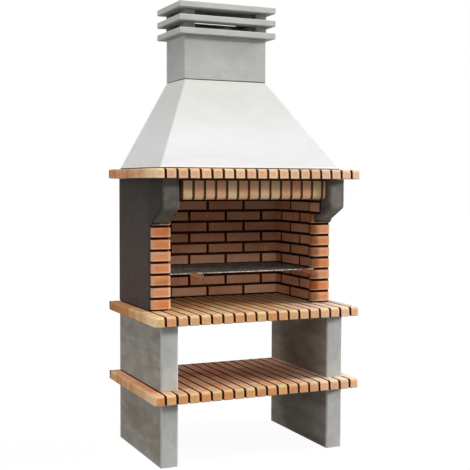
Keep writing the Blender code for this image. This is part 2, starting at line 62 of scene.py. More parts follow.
front_of_slabs = cad_box[0].y
half_slab = cad_box[1].x
brick = 0.050               # width and height of a brick
brick_length = 0.210
column_pitch = 0.060
slab_columns = 19
butt_joint = 0.0008         # between bricks end to end in a column
brick_end = 0.7267          # where the brick columns meet the dark strip at the back
opened_columns = range(3, 16)
opening = (0.1597, 0.6603)  # the mantel's smoke opening between its bricks
head_joint = 0.012
course_pitch = 0.0602
first_bed = 0.0068
courses = 11
pilaster_courses = 8
firebox_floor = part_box("hearth_bricks")[1].z + 0.0003
lining_face, panel_face = 0.428, 0.4440     # the side linings' two sides, as X
lining_front, lining_back = 0.2626, 0.714
back_face = 0.698                           # of the back lining, a depth
lining_joint, back_joint = 0.303, -0.004    # one head joint of the lowest course
slip_face, slip_back = 0.400, 0.4117        # the corbels' linings' two sides, as X
slip_depths, pilaster_depths, lintel_depths = (0.144, 0.254), (0.216, 0.257), (0.096, 0.135)
wall_foot, wall_top, wall_back = 0.76, 1.41, 0.7    # the side walls' edges lie beyond these
corbel_front, corbel_low = 0.185, 1.2               # the corbels' lie before and above these
pocket = (0.2, 0.24)                                # the depths just behind the corbels
half_lintel = 0.4114
half_grate = 0.4084
grate_corner = 0.012
grate_pitch = 0.024
frame_wire, mesh_wire, wrap_wire = 0.0026, 0.0015, 0.0016   # radii

# Where one tone, or one painted light or shade, passes into another, as two heights, two depths or
# two places along X.

over_shelf, over_hearth = (0.5, 0.6), (0.9, 1.0)
within_flanks, on_flanks = (0.545, 0.555), (0.552, 0.560)
right_inner_edge, right_middle = (0.39, 0.40), (0.46, 0.47)     # of the right pilaster
corbel_foot, corbel_back, corbel_side = (1.1885, 1.1935), (0.205, 0.235), (0.498, 0.508)
panel_front, panel_back = (0.245, 0.285), (0.724, 0.734)
lintel_foot, lintel_top, lintel_back = (1.28, 1.30), (1.409, 1.412), (0.136, 0.140)
hood_foot_shadow, hood_lip = (1.4708, 1.4722), (1.4770, 1.4795)
firebox_shade_start = (0.214, 0.232)


def at(x, depth, height):
    """A point from its depth behind the slabs' front."""
    return Vector((x, depth + front_of_slabs, height))


def tint(code):
    """A screen colour such as D98850 as the linear colour of a shader."""
    shares = [int(code[place:place + 2], 16) / 255 for place in (0, 2, 4)]
    return (*[s / 12.92 if s <= 0.04045 else ((s + 0.055) / 1.055) ** 2.4 for s in shares], 1)


def quarter(steps, start=0):
    """The angles of a quarter turn from its start in degrees."""
    return [math.radians(start + 90 * step / steps) for step in range(steps + 1)]


# Node trees


class Signal:
    """A node's output in a sum. Each operator adds a Math node, or Vector Math for a vector."""

    def __init__(self, maker, socket):
        self.maker, self.socket = maker, socket

    def reckon(self, operation, *sides):
        vector = any(isinstance(s, Signal) and s.socket.type == "VECTOR" for s in sides)
        kind = "ShaderNodeVectorMath" if vector else "ShaderNodeMath"
        if vector:
            sides = [(s, s, s) if isinstance(s, (int, float)) else s for s in sides]
        return self.maker.node(kind, {"operation": operation}, dict(enumerate(sides)))

    def __add__(self, other):
        return self.reckon("ADD", self, other)

    def __sub__(self, other):
        return self.reckon("SUBTRACT", self, other)

    def __rsub__(self, other):
        return self.reckon("SUBTRACT", other, self)

    def __mul__(self, other):
        return self.reckon("MULTIPLY", self, other)

    def __truediv__(self, other):
        return self.reckon("DIVIDE", self, other)

    def __abs__(self):
        return self.reckon("ABSOLUTE", self)

    __radd__ = __add__
    __rmul__ = __mul__

    def between(self, low, high, start=0.0, end=1.0):
        """Turns smoothly from start to end as the value goes from low to high."""
        return self.maker.node("ShaderNodeMapRange", {"interpolation_type": "SMOOTHSTEP"},
                               {0: self, 1: low, 2: high, 3: start, 4: end})

    def fall(self, low, high):
        """Falls smoothly from 1 to 0 as the value goes from low to high."""
        return self.between(low, high, 1.0, 0.0)

    def ragged(self, cloud, reach):
        """The value with a cloud's unevenness, by up to half the reach either way."""
        return self + (cloud - 0.5) * reach


def greatest(first, *others):
    for other in others:
        first = first.reckon("MAXIMUM", first, other)
    return first


def least(first, *others):
    for other in others:
        first = first.reckon("MINIMUM", first, other)
    return first


class NodeMaker:
    """Adds the nodes of one tree."""

    def __init__(self, tree):
        self.tree = tree
        tree.nodes.clear()

    def node(self, kind, settings=(), sockets=(), output=None):
        """Adds a node with its inputs filled, and returns an output, or else its first one."""
        made = self.tree.nodes.new(kind)
        for name, value in dict(settings).items():
            setattr(made, name, value)
        for key, value in dict(sockets).items():
            socket = find_socket(made.inputs, key)
            if isinstance(value, Signal):
                self.tree.links.new(value.socket, socket)
            else:
                socket.default_value = value
        if not len(made.outputs):
            return made
        if output is None:
            output = next(n for n, socket in enumerate(made.outputs) if socket.enabled)
        return Signal(self, find_socket(made.outputs, output))

    def parts(self, vector):
        made = self.node("ShaderNodeSeparateXYZ", (), {0: vector})
        return [Signal(self, socket) for socket in made.socket.node.outputs]

    def vector(self, *parts):
        return self.node("ShaderNodeCombineXYZ", (), dict(enumerate(parts)))

    def looked_at(self):
        """1 for what the camera sees, straight, mirrored or through glass, and 0 for light."""
        path = self.node("ShaderNodeLightPath", output="Is Camera Ray").socket.node
        return greatest(*[Signal(self, path.outputs[name]) for name in (
            "Is Camera Ray", "Is Glossy Ray", "Is Transmission Ray")])


def find_socket(sockets, key):
    if isinstance(key, int):
        return sockets[key]
    return ([s for s in sockets if s.identifier == key]
            + [s for s in sockets if s.name == key and s.enabled])[0]


# Materials


class Finish(NodeMaker):
    """One material's nodes. Its colour is built up in layers, each a signal or the code of a
    screen colour. The scales of its patterns are in patches per metre."""

    def __init__(self, name):
        self.material = bpy.data.materials.new(name)
        self.material.use_nodes = True
        super().__init__(self.material.node_tree)
        self.spot = self.node("ShaderNodeTexCoord", output="Object")

    def here(self):
        """X, the depth behind the slabs' front, and the height."""
        x, y, z = self.parts(self.spot)
        return x, y - front_of_slabs, z

    def note(self, name):
        """A value that the piece's mesh carries."""
        kind = "Fac" if name == "side" else "Vector"
        return self.node("ShaderNodeAttribute", {"attribute_name": name}, output=kind)

    def inward(self):
        """The distances to the nearest sides of the piece's block, along X, Y and Z."""
        return self.parts(self.note("half") - abs(self.note("place")))

    def rim(self):
        """The distance to the nearest edge of the piece's block, along its faces."""
        a, b, c = self.inward()
        return greatest(least(a, b), least(greatest(a, b), c))

    def downward(self):
        """The distance under the top of the piece's block."""
        return self.parts(self.note("half") - self.note("place"))[2]

    def cloud(self, scale, detail=3.0, rough=0.55, where=None, warp=0.0):
        return self.node("ShaderNodeTexNoise", (), {
            "Vector": where or self.spot, "Scale": scale, "Detail": detail,
            "Roughness": rough, "Distortion": warp}, 0)

    def stretched(self, x, y, z, where=None):
        return (where or self.spot) * self.vector(x, y, z)

    def cells(self, scale, where=None):
        return self.node("ShaderNodeTexVoronoi", (), {
            "Vector": where or self.spot, "Scale": scale}, "Distance")

    def ramp(self, value, *stops):
        colours = self.node("ShaderNodeValToRGB", (), {0: value}, "Color")
        ramp = colours.socket.node.color_ramp
        ramp.elements.remove(ramp.elements[-1])
        for count, (place, code) in enumerate(stops):
            stop = ramp.elements.new(place) if count else ramp.elements[0]
            stop.position, stop.color = place, tint(code)
        return colours

    def mix(self, share, first, second, blend="MIX"):
        first, second = [tint(c) if isinstance(c, str) else c for c in (first, second)]
        return self.node("ShaderNodeMix", {"data_type": "RGBA", "blend_type": blend},
                         {"Factor_Float": share, "A_Color": first, "B_Color": second},
                         "Result_Color")

    def lay(self, share, colour):
        """Lays a colour over the finish."""
        self.colour = self.mix(share, self.colour, colour)

    def stain(self, share, colour):
        """Tints the finish like a glaze."""
        self.colour = self.mix(share, self.colour, colour, "MULTIPLY")

    def shade(self, brightness):
        """Makes the finish lighter or darker by a number near 1."""
        self.colour = self.node("ShaderNodeVectorMath", {"operation": "MULTIPLY"}, {
            0: self.colour, 1: self.vector(brightness, brightness, brightness)})

    def close(self, roughness, relief, relief_depth, **constants):
        """Ends the tree with the surface, and a relief of the given depth."""
        bump = self.node("ShaderNodeBump", (), {
            "Height": relief, "Distance": relief_depth, "Strength": 1.0}, "Normal")
        sockets = {"Base Color": self.colour, "Roughness": roughness, "Normal": bump}
        sockets.update({key.replace("_", " "): value for key, value in constants.items()})
        body = self.node("ShaderNodeBsdfPrincipled", (), sockets)
        self.node("ShaderNodeOutputMaterial", (), {"Surface": body})
        return self.material


def nose_tones(made, blotch):
    """Greys the slabs' front faces, and paints a highlight on their rounded upper edges."""
    depth, z = made.here()[1:]
    crown_highlight = (made.downward().ragged(blotch, 0.006).fall(0.005, 0.013)
             * depth.between(0.012, 0.05, 1.0, 0.25))
    lower = z.fall(0.80, 1.30)
    made.stain(depth.fall(0.0, 0.006) * (1.0 - crown_highlight) * lower, "EEE2CC")
    # Painted highlight on the rounded upper edges.
    made.lay(crown_highlight * 0.6, "F8DDAA")
    made.lay((1.0 - lower) * depth.between(0.0, 0.01, 0.3, 0.0), "F2D3BC")


def slab_tones(made):
    """Paints the light and shade that each slab stands in, adds flame bands and a paler front on
    its sides, and returns its brightness.
    """
    x, depth, z = made.here()
    shelf = z.fall(*over_shelf)
    made.stain(shelf * depth.fall(0.0, 0.03), "F8EEE4")
    # Painted light: the shelf top in the hearth's shadow is made redder and brighter.
    shelf_in_shadow = shelf * depth.between(0.03, 0.12) * abs(x).fall(*within_flanks)
    made.stain(shelf_in_shadow, "FFE8EE")
    hearth = z.between(*over_shelf) * z.fall(*over_hearth)
    made.stain(hearth * depth.between(0.10, 0.35) * x.between(0.2, 0.3, 1.0, 0.4), "FFF4E2")
    # Painted light: paler towards the right end.
    made.lay(x.between(0.1, 0.50, 0.0, 0.40), "F4CDB6")
    sunlit = made.downward().fall(0.001, 0.005) * x.between(0.15, 0.45) * depth.fall(0.10, 0.40)
    made.lay(sunlit * 0.6, "FDEBDA")
    flank = abs(x).between(*on_flanks)
    bands = made.cloud(16.0, 3.0, 0.6, made.stretched(0.3, 1.0, 0.4))
    made.lay(flank * bands.between(0.40, 0.62, 0.12, 0.75) * depth.between(0.05, 0.20), "DE8450")
    made.lay(flank * depth.between(0.05, 0.45, 0.55, 0.0), "F3E0B4")
    # Painted light brightens the shelf top in the hearth's shadow, the sunlit tops and the slabs'
    # side faces; painted shade darkens the back of the hearth.
    return ((1.0 + shelf_in_shadow * 0.14) * (1.0 + sunlit * 0.16)
            * (1.0 - hearth * depth.between(0.25, 0.60, 0.0, 0.24))
            * abs(x).between(0.556, 0.563, 1.0, 1.15))


def brick_finish(name, clay, along, joints, flame, sooty=0.0, wear=0.3, worn_width=0.0045,
                 heart=0.0, painted_light=(), slab=False, pilaster=False):
    """Fired clay in three tones, the palest first: each brick is flamed along one axis, and
    has a deeper heart, sand and worn pale edges. Mortar is left on the sides across the
    joints' axes; a dark line along the foot, except on the pilasters, is painted shadow, and
    the pilasters are paler at the foot. Each ramp of painted light and shade is an axis, two
    places on it and the brightness at each."""
    made = Finish(name)
    pale, warm, deep = clay
    tone = made.parts(made.note("tone"))
    place, half = made.note("place"), made.note("half")
    shares, inward, here = made.parts(place / half), made.inward(), made.here()
    clouds = made.cloud(9.0, 2.0)
    fine = made.cloud(420.0, 3.0, 0.7)
    blotch = made.cloud(38.0, 4.0, 0.6)
    speckle = made.cloud(170.0, 2.0, 0.6)
    grit = made.cells(330.0).between(0.10, 0.32)
    made.colour = made.ramp(tone[0].ragged(clouds, 0.25), (0.10, pale), (0.42, pale),
                            (0.62, warm), (0.88, warm), (1.0, deep))
    turned = (tone[2].between(0.49, 0.51) - 0.5) * 2
    run = shares[along] * turned + (clouds - 0.5) * 0.9 + tone[2] - 0.45
    made.lay(run.between(-0.2, 0.9, 0.0, flame),
             made.ramp(tone[1], (0.0, deep), (0.25, warm), (0.60, pale)))
    level = ((0.90 + blotch * 0.22) * (0.93 + fine * 0.14) * (0.92 + tone[2] * 0.10)
             * (0.9 + grit * 0.1) * (0.91 + speckle * 0.16))
    # Ramps of painted light and shade.
    for axis, start, end, first, last in painted_light:
        level = level * here[axis].ragged(clouds, 0.06).between(start, end, first, last)
    if slab:
        nose_tones(made, blotch)
    rim = made.rim()
    if heart:
        made.lay(rim.ragged(blotch, 0.012).between(0.006, 0.019, 0.0, heart), deep)
    made.lay(speckle.between(0.52, 0.68, 0.0, 0.35), pale)
    made.lay(rim.ragged(blotch, 0.006).fall(0.0, worn_width) * wear, pale)
    if slab:
        level = level * slab_tones(made)
    if pilaster:
        # The right pilaster's inner side, darkened by painted shade, keeps no pale ends.
        painted_shade_side = here[0].between(*right_inner_edge) * here[0].fall(*right_middle)
        ends = inward[0].ragged(blotch, 0.012).between(0.003, 0.021, 0.6, 0.0)
        made.lay(ends * (1.0 - painted_shade_side), "E4BEA2")
    made.shade(level)
    if sooty:
        made.lay(made.cloud(6.0, 4.0, 0.6).between(0.42, 0.75, 0.0, sooty), "33211B")
    open_side = greatest(shares[0] * made.note("side"), 0.0)
    smears_and_foot_shadow = [inward[axis].ragged(fine, 0.001).fall(0.0005, 0.0016)
              * (1.0 if axis else 1.0 - open_side) for axis in joints]
    # On the pilasters the foot is paler; on the other bricks a dark line along the foot is painted
    # shadow, laid with the mortar smears at the joints.
    foot = made.parts(half + place)[2].ragged(blotch, 0.004)
    if pilaster:
        made.lay(foot.between(0.003, 0.007, 0.6, 0.0), "F0D6BC")
    else:
        smears_and_foot_shadow.append(foot.between(0.0012, 0.0042, 0.75, 0.0))
    smear_and_shadow_colour = "2A140A"
    if slab:
        smear_and_shadow_colour = made.mix(here[1].between(0.015, 0.05), smear_and_shadow_colour, "6A3014")
    made.lay(greatest(*smears_and_foot_shadow), smear_and_shadow_colour)
    return made.close(0.80 + fine * 0.15, fine * 0.5 + blotch * 0.8 + grit * 0.4, 0.0012,
                      Specular_IOR_Level=0.2)


def mortar_finish():
    """Brown-black mortar, sandy, with paler grains. It is paler all through at the lintel."""
    made = Finish("dark_mortar")
    depth, z = made.here()[1:]
    sand = made.cloud(600.0, 2.0, 0.7)
    patch = made.cloud(24.0, 4.0, 0.6)
    made.colour = made.ramp(patch, (0.30, "33130A"), (0.55, "4E200E"), (0.80, "643018"))
    lintel = depth.fall(*lintel_back) * z.between(*lintel_foot) * z.fall(*lintel_top)
    made.lay(lintel * 0.6, "7A5E44")
    made.lay(made.cells(420.0).fall(0.12, 0.20) * 0.18, "6A4A36")
    return made.close(0.90 + sand * 0.08, sand * 0.6 + patch, 0.0015, Specular_IOR_Level=0.0)


def concrete_finish(name, dark, middle, light, mottle, streaks=0.0, flank_shade=0.0, gap_shade=False):
    """Cast concrete: mottled, with pores, fine grain and scuffed edges. The flank shade is how
    much painted shade darkens the faces to the left and right, which also get dirt blotches
    and a painted highlight along the upright edges. The gap shade paints shade over what
    lies far from the sides, and on the undersides near the edges."""
    made = Finish(name)
    moved = made.spot + made.note("tone") * 7.0
    broad = made.cloud(3.2, 4.0, 0.62, moved, 0.4)
    patch = made.cloud(11.0, 5.0, 0.62, moved)
    fine = made.cloud(260.0, 3.0, 0.7)
    a, b = made.inward()[:2]
    made.colour = made.ramp(
        broad * 0.6 + patch * 0.4 + (made.parts(made.note("tone"))[0] - 0.5) * 0.05,
        (0.5 - 0.22 / mottle, dark), (0.5, middle), (0.5 + 0.24 / mottle, light))
    level = 0.93 + fine * 0.14
    if streaks:
        lines = made.cloud(5.0, 3.0, 0.6, made.stretched(0.6, 0.6, 9.0, moved))
        level = level * (1.0 + (lines - 0.5) * streaks)
    made.shade(level)
    if flank_shade:
        outward = made.parts(abs(made.note("place")) / made.note("half"))[0]
        facing = outward.between(0.86, 0.99)
        # Painted shade darkens the faces to the left and right.
        made.shade(1.0 - facing * flank_shade)
        made.stain(facing, "FFFAF3")
        runs = made.stretched(1.0, 0.4, 1.5, moved)
        dirt = made.cloud(4.5, 5.0, 0.58, runs) * 0.7 + made.cloud(15.0, 3.0, 0.6, runs) * 0.3
        made.lay(facing * dirt.between(0.38, 0.64, 0.0, 0.62), "6F6048")
        made.lay(facing * dirt.between(0.30, 0.42, 0.25, 0.0), "C4C6C4")
        # Painted highlight along the upright edges.
        upright_edge_highlight = greatest(a, b).ragged(patch, 0.008)
        made.lay(upright_edge_highlight.between(0.002, 0.013, 0.5, 0.0), "C9CED2")
    if gap_shade:
        # Painted shade darkens what lies far from the sides, and the undersides near the edges.
        within = least(a, b)
        made.shade(within.ragged(patch, 0.03).between(0.020, 0.075, 1.0, 0.62))
        under = made.downward().between(0.0265, 0.0305) * within.fall(0.034, 0.038)
        made.shade(1.0 - under * 0.3)
    pits = made.cells(62.0, moved).fall(0.07, 0.15)
    pits = pits * made.cloud(7.0, 2.0, 0.5, moved).between(0.46, 0.62)
    made.lay(pits * 0.55, "3B3A36")
    made.lay(made.rim().ragged(patch, 0.016).fall(0.001, 0.008) * 0.55, light)
    return made.close(0.82 + fine * 0.14, fine * 0.35 + patch * 1.6 - pits * 1.2, 0.0016)


def wall_finish():
    """The firebox's panels: concrete dyed charcoal, greener higher up, with paler corbels on which
    light and shade are painted.
    """
    made = Finish("charcoal_concrete")
    x, depth, z = made.here()
    moved = made.spot + made.note("tone") * 5.0
    broad = made.cloud(3.0, 5.0, 0.6, moved, 0.3)
    patch = made.cloud(16.0, 5.0, 0.6, moved)
    fine = made.cloud(300.0, 3.0, 0.7)
    made.colour = made.ramp(broad * 0.4 + patch * 0.6, (0.32, "504D48"), (0.5, "68645D"),
                            (0.66, "7D7970"))
    side = made.inward()[0].ragged(patch, 0.012)
    # Painted light and shade on the corbels: the right one brighter than the left, darker near the
    # upright sides, and darker low down on the chamfer.
    made.shade(x.between(-0.1, 0.1, 0.88, 1.24) * side.between(0.003, 0.026, 0.74, 1.08)
               * z.ragged(patch, 0.04).between(1.20, 1.30, 0.88, 1.0))
    corbel = made.colour
    mottle = broad * 0.5 + patch * 0.5
    made.colour = made.ramp(mottle, (0.32, "392C27"), (0.5, "453732"), (0.68, "4A3E3A"))
    made.lay(z.ragged(broad, 0.3).between(0.85, 1.25, 0.0, 0.8),
             made.ramp(mottle, (0.32, "2A2722"), (0.5, "34302A"), (0.68, "403933")))
    front = depth.ragged(patch, 0.02)
    made.lay(greatest(front.between(*panel_front, 0.55, 0.0),
                      depth.ragged(patch, 0.006).between(*panel_back, 0.0, 0.8)), "1F211C")
    forward = front.fall(*corbel_back) * abs(x).ragged(patch, 0.004).fall(*corbel_side)
    made.lay(forward, corbel)
    made.shade(0.92 + fine * 0.16)
    foot = (z.ragged(patch, 0.012).fall(*corbel_foot)
            * abs(x).ragged(broad, 0.04).between(0.455, 0.475, 1.0, 0.2))
    made.lay(foot * forward * patch.between(0.38, 0.50), "D8C6BA")
    pits = made.cells(85.0, moved).fall(0.07, 0.14)
    made.lay(pits * 0.4, "201D1B")
    return made.close(0.80 + fine * 0.15, fine * 0.4 + patch * 1.4 - pits, 0.0014,
                      Specular_IOR_Level=0.25)


def render_finish():
    """White render with faint trowel sweeps, painted shade towards the top, and a painted
    highlight on the lip over a painted shadow line at its foot.
    """
    made = Finish("white_render")
    z = made.here()[2]
    sweep = made.cloud(4.0, 3.0, 0.5, made.stretched(1.0, 1.0, 2.4), 0.8)
    patch = made.cloud(22.0, 4.0, 0.6)
    fine = made.cloud(500.0, 2.0, 0.6)
    made.colour = made.ramp(sweep * 0.7 + patch * 0.3, (0.30, "DFE0E1"), (0.6, "E7E8E8"))
    # Painted shade: darker towards the top.
    made.shade(z.ragged(patch, 0.05).between(1.60, 1.93, 1.0, 0.86))
    made.stain(z.ragged(patch, 0.2).between(1.55, 1.90), "FFFFF8")
    # Painted highlight on the lip.
    made.lay(z.ragged(patch, 0.003).fall(*hood_lip) * 0.8, "F8F8F6")
    # Painted shadow line under the lip, at the foot.
    made.lay(z.ragged(patch, 0.001).fall(*hood_foot_shadow) * 0.9, "4A3A2E")
    made.shade(0.985 + fine * 0.03)
    return made.close(0.62 + patch * 0.12, sweep * 1.5 + patch * 0.35 + fine * 0.06, 0.0010)


def wire_finish():
    """Plated steel wire with painted glints in short dashes in front, and painted shade that
    darkens it further in, in the firebox, where it is also rougher.
    """
    made = Finish("bright_wire")
    patch = made.cloud(35.0, 4.0, 0.6)
    fine = made.cloud(700.0, 2.0, 0.6)
    # Painted shade darkens the grate behind its front wire, in the firebox.
    firebox_shade = made.here()[1].ragged(patch, 0.02).between(*firebox_shade_start)
    spots = made.cloud(150.0, 1.0).between(0.52, 0.62, 1.0, 0.78)
    # Painted glints: bright dashes along the wire.
    glint_dashes = made.cloud(95.0, 1.0, 0.5, made.stretched(1.8, 0.1, 0.1)).between(0.42, 0.54)
    made.colour = made.mix(glint_dashes, "8C837C", "E8E1DC")
    made.lay(firebox_shade * 0.95 * spots, made.ramp(patch, (0.3, "3A332E"), (0.7, "564D46")))
    return made.close(0.30 + firebox_shade * 0.25 + fine * 0.1, fine * 0.3 + patch, 0.0003,
                      Metallic=0.75)


def wood_finish():
    """Varnished red-brown wood with grain along the handle, with painted shade on its ends and in
    its dimple and bore.
    """
    made = Finish("handle_wood")
    grain = made.cloud(90.0, 4.0, 0.65, made.stretched(1.0, 0.06, 1.0), 0.4)
    fibre = made.cloud(900.0, 2.0, 0.6, made.stretched(1.0, 0.04, 1.0))
    made.colour = made.ramp(grain, (0.28, "78401F"), (0.5, "A06038"), (0.74, "B57A50"))
    endward, radius = made.parts(made.note("turning"))[:2]
    # Painted shade darkens the ends.
    made.lay(endward.between(0.93, 0.985) * 0.85, "70452A")
    # Painted shade in the dimple and the bore.
    made.lay(radius.fall(0.0036, 0.0050) * 0.8, "6A3820")
    made.shade(0.92 + fibre * 0.16)
    return made.close(0.50 + grain * 0.2, grain * 0.6 + fibre * 0.3, 0.0005,
                      Coat_Weight=0.12, Coat_Roughness=0.3)


# Pieces


def dress(made, look):
    """Gives a piece its material."""
    made.data.materials.clear()
    made.data.materials.append(look)


def tie(made, body, slot, *nodes):
    """Ties a piece to the frame."""
    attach(made, body)
    if nodes:
        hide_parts(*nodes)


def add_object(name, data):
    made = bpy.data.objects.new(name, data)
    bpy.context.scene.collection.objects.link(made)
    return made


def new_object(name, shapes):
    mesh = bpy.data.meshes.new(name)
    shapes.to_mesh(mesh)
    shapes.free()
    return add_object(name, mesh)


def write_note(mesh, name, values, kind="FLOAT_VECTOR"):
    """Gives each corner of a mesh a value for the materials and trees to read."""
    note = mesh.attributes.new(name, kind, "POINT")
    for spot, value in zip(note.data, values):
        setattr(spot, "vector" if kind == "FLOAT_VECTOR" else "value", value)


def note_block(mesh, seed):
    """Notes each corner's place in the piece's block, for the edge wear, and a tone."""
    corners = [corner.co.copy() for corner in mesh.vertices]
    low, high = [Vector([end(c[axis] for c in corners) for axis in range(3)])
                 for end in (min, max)]
    write_note(mesh, "place", [c - (low + high) / 2 for c in corners])
    write_note(mesh, "half", [(high - low) / 2] * len(corners))
    spread = [abs(math.sin(seed * 12.9898 + axis * 78.233) * 43758.5453) % 1 for axis in range(3)]
    write_note(mesh, "tone", [Vector(spread)] * len(corners))


def cad_copy(node):
    """A CAD node's mesh in a bmesh, merged, with its flat faces whole again."""
    shapes = bmesh.new()
    shapes.from_mesh(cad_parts[node].data)
    bmesh.ops.remove_doubles(shapes, verts=shapes.verts[:], dist=0.00005)
    bmesh.ops.dissolve_limit(shapes, angle_limit=math.radians(0.5), verts=shapes.verts[:],
                             edges=shapes.edges[:], delimit={"NORMAL"})
    return shapes


def settle(made):
    """Turns a piece with modifiers into a plain mesh."""
    bpy.context.view_layer.update()
    ready = made.evaluated_get(bpy.context.evaluated_depsgraph_get())
    mesh = bpy.data.meshes.new_from_object(ready)
    made.modifiers.clear()
    old, made.data = made.data, mesh
    bpy.data.meshes.remove(old)


def even_normals(made):
    """Keeps flats flat and turns rounded edges smoothly between them, and settles the piece."""
    made.data.shade_smooth()
    made.modifiers.new("even_normals", "WEIGHTED_NORMAL").weight = 60
    settle(made)


def weigh_edges(mesh, share):
    """Gives each sharp edge a bevel weight from its middle."""
    shapes = bmesh.new()
    shapes.from_mesh(mesh)
    layer = shapes.edges.layers.float.new("bevel_weight_edge")
    for edge in shapes.edges:
        if edge.is_manifold and edge.calc_face_angle(0) > math.radians(30):
            edge[layer] = share(*[(a + b) / 2 for a, b in zip(*[v.co for v in edge.verts])])
    shapes.to_mesh(mesh)
    shapes.free()


def cast(name, node, slot, look, seed, width=0.0, steps=3, share=None, shapes=None):
    """A cast piece from the shapes, or else from its CAD solid. Its sharp edges are eased by
    the width, or by the share of it that is given to an edge's middle."""
    made = new_object(name, shapes or cad_copy(node))
    if width:
        eased = made.modifiers.new("eased_edges", "BEVEL")
        eased.width, eased.segments = width, steps
        eased.limit_method, eased.angle_limit = "ANGLE", math.radians(30)
        if share:
            eased.limit_method, eased.use_clamp_overlap = "WEIGHT", False
            weigh_edges(made.data, share)
    even_normals(made)
    note_block(made.data, seed)
    dress(made, look)
    tie(made, "masonry", slot, node)


def corbel_easing(x, y, z):
    """Rounds the corbels' front edges most, little beside the mantel, and not the pocket's."""
    depth = y - front_of_slabs
    if not wall_foot <= z <= wall_top:
        return 0.0 if pocket[0] <= depth <= pocket[1] else 0.06
    if depth < corbel_front and z > corbel_low:
        return 1.0
    return 0.15 if depth > wall_back else 0.0


def cast_leg(node, seed):
    """A leg: a block whose upright edges are well rounded and whose level ones are eased."""
    low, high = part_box(node)
    shapes = bmesh.new()
    bmesh.ops.create_cube(shapes, size=1)
    for corner in shapes.verts:
        corner.co = Vector([l + (h - l) * (c + 0.5) for l, h, c in zip(low, high, corner.co)])
    cast(node + "_casting", node, "leg_concrete", leg_concrete, seed, width=0.010, steps=5,
         share=lambda x, y, z: 1.0 if low.z + 0.01 < z < high.z - 0.01 else 0.3, shapes=shapes)


def ring_of(low, high, height, radius, inset=0.0, steps=5):
    """A level rectangle with rounded corners, as points, set in from its two far corners."""
    reach = inset + radius
    left, right, front, back = low.x + reach, high.x - reach, low.y + reach, high.y - reach
    corners = (right, back), (left, back), (left, front), (right, front)
    return [Vector((x + radius * math.cos(turn), y + radius * math.sin(turn), height))
            for count, (x, y) in enumerate(corners) for turn in quarter(steps, 90 * count)]


def skin(name, rings, closed):
    """A piece over rings of points. It ends where it began if closed, and in caps if not."""
    shapes = bmesh.new()
    loops = [[shapes.verts.new(point) for point in ring] for ring in rings]
    for first, last in zip(loops, loops[1:] + (loops[:1] if closed else [])):
        for here in range(len(first)):
            after = (here + 1) % len(first)
            shapes.faces.new((first[here], first[after], last[after], last[here]))
    if not closed:
        for loop in (loops[0], loops[-1]):
            shapes.faces.new(loop)
    bmesh.ops.recalc_face_normals(shapes, faces=shapes.faces[:])
    return new_object(name, shapes)


def hood_shell(name, low, high, chimney):
    """The rendered hood: a tapered shell with an upright lip round its foot."""
    lip, foot_round, wall, chimney_wall = 0.007, 0.0025, 0.030, 0.035
    steps, inner_steps = 14, 5
    rise = high.z - low.z

    def slope(height, inner=False):
        share = (height - low.z) / rise
        return ring_of(low.lerp(chimney[0], share), high.lerp(chimney[1], share), height,
                       0.004 if inner else 0.009,
                       wall + (chimney_wall - wall) * share if inner else 0.0)

    foot = [(0.0, 0.006, 0.004)]        # heights, corner radii and insets of its rings
    foot += [(foot_round * (1 - math.cos(turn)), 0.008, foot_round * (1 - math.sin(turn)))
             for turn in quarter(3)[1:]]
    foot += [(lip - 0.0015, 0.008, 0.0), (lip - 0.0003, 0.008, 0.001)]
    rings = [slope(low.z, True)]
    rings += [ring_of(low, high, low.z + up, radius, inset) for up, radius, inset in foot]
    start = lip + 0.001
    rings += [slope(low.z + start + (rise - start) * step / steps) for step in range(steps + 1)]
    rings += [slope(high.z - rise * step / inner_steps, True) for step in range(inner_steps)]
    made = skin(name, rings, True)
    even_normals(made)
    return made


def turned_handle(name, node):
    """A turned handle: rounded ends, a slight swell, a dimple in front and a bore behind."""
    low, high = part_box(node)
    middle, length, radius = (low + high) / 2, high.y - low.y, (high.x - low.x) / 2
    slim, end_round, sides = 0.93, 0.004, 28
    neck = radius * slim - end_round
    profile = [(0.0006, 0.0030), (0.0036, 0.0024), (0.0048, 0.0)]      # radii and places along
    profile += [(neck + end_round * math.sin(turn), end_round * (1 - math.cos(turn)))
                for turn in quarter(6)]
    profile += [(radius * (slim + (1 - slim) * math.sin(math.pi * share)), length * share)
                for share in (0.15, 0.3, 0.5, 0.7, 0.85)]
    profile += [(neck + end_round * math.cos(turn), length - end_round * (1 - math.sin(turn)))
                for turn in quarter(6)]
    profile += [(0.0050, length), (0.0040, length - 0.001), (0.0040, length - 0.016)]
    turns = [2 * math.pi * side / sides for side in range(sides)]
    made = skin(name, [[Vector((middle.x + reach * math.cos(turn), low.y + along,
                                middle.z + reach * math.sin(turn))) for turn in turns]
                       for reach, along in profile], False)
    made.data.shade_smooth()
    write_note(made.data, "turning", [Vector((abs(along / length - 0.5) * 2, reach, 0))
                                      for reach, along in profile for turn in turns])
    return made


# Trees of Geometry Nodes


